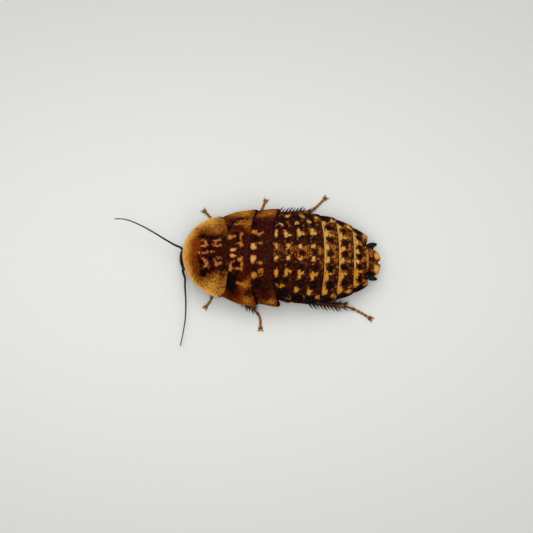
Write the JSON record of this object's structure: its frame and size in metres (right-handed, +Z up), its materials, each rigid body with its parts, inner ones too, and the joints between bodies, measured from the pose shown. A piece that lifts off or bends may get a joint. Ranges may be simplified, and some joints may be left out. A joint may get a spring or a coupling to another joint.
{
  "type": "discoid roach",
  "caption": "Standing discoid roach nymph with a domed shield, short wing pads, banded abdomen, jointed feelers and spined legs.",
  "frame": {"origin": "on the ground plane that the feet stand on, below the middle of the whole animal with feelers and feet", "axes": "-X towards the head, +X towards the tail, +Y towards the animal's right side, +Z up"},
  "size_m": [0.0534, 0.0313, 0.0088],
  "materials": {
    "shield": "amber horn-like shield with a dark middle, waxy sheen",
    "back": "brown plates mottled with amber, tan and near black, waxy sheen",
    "belly": "plain brown, waxy sheen",
    "leg": "red-brown with olive-tan feet, satin",
    "dark": "near black, glossy",
    "eye": "black, glossy, finely facetted"
  },
  "bodies": {
    "root": {"abdomen": "belly", "antenna_left_flagellum": "dark", "antenna_left_scape": "dark", "antenna_right_flagellum": "dark", "antenna_right_scape": "dark", "cercus_left": "dark", "cercus_right": "dark", "eye_left": "eye", "eye_right": "eye", "front_left_coxa": "leg", "front_left_femur": "leg", "front_left_tarsus": "leg", "front_left_tibia": "leg", "front_right_coxa": "leg", "front_right_femur": "leg", "front_right_tarsus": "leg", "front_right_tibia": "leg", "head": "dark", "hind_left_coxa": "leg", "hind_left_femur": "leg", "hind_left_tarsus": "leg", "hind_left_tibia": "leg", "hind_right_coxa": "leg", "hind_right_femur": "leg", "hind_right_tarsus": "leg", "hind_right_tibia": "leg", "mesonotum": "back", "mesothorax": "belly", "metanotum": "back", "metathorax": "belly", "middle_left_coxa": "leg", "middle_left_femur": "leg", "middle_left_tarsus": "leg", "middle_left_tibia": "leg", "middle_right_coxa": "leg", "middle_right_femur": "leg", "middle_right_tarsus": "leg", "middle_right_tibia": "leg", "mouthparts": "dark", "palp_left": "dark", "palp_right": "dark", "pronotum": "shield", "prothorax": "belly", "supra_anal_plate": "back", "tergite_1": "back", "tergite_2": "back", "tergite_3": "back", "tergite_4": "back", "tergite_5": "back", "tergite_6": "back", "tergite_7": "back", "tergite_8_9": "back"}
  },
  "joints": []
}
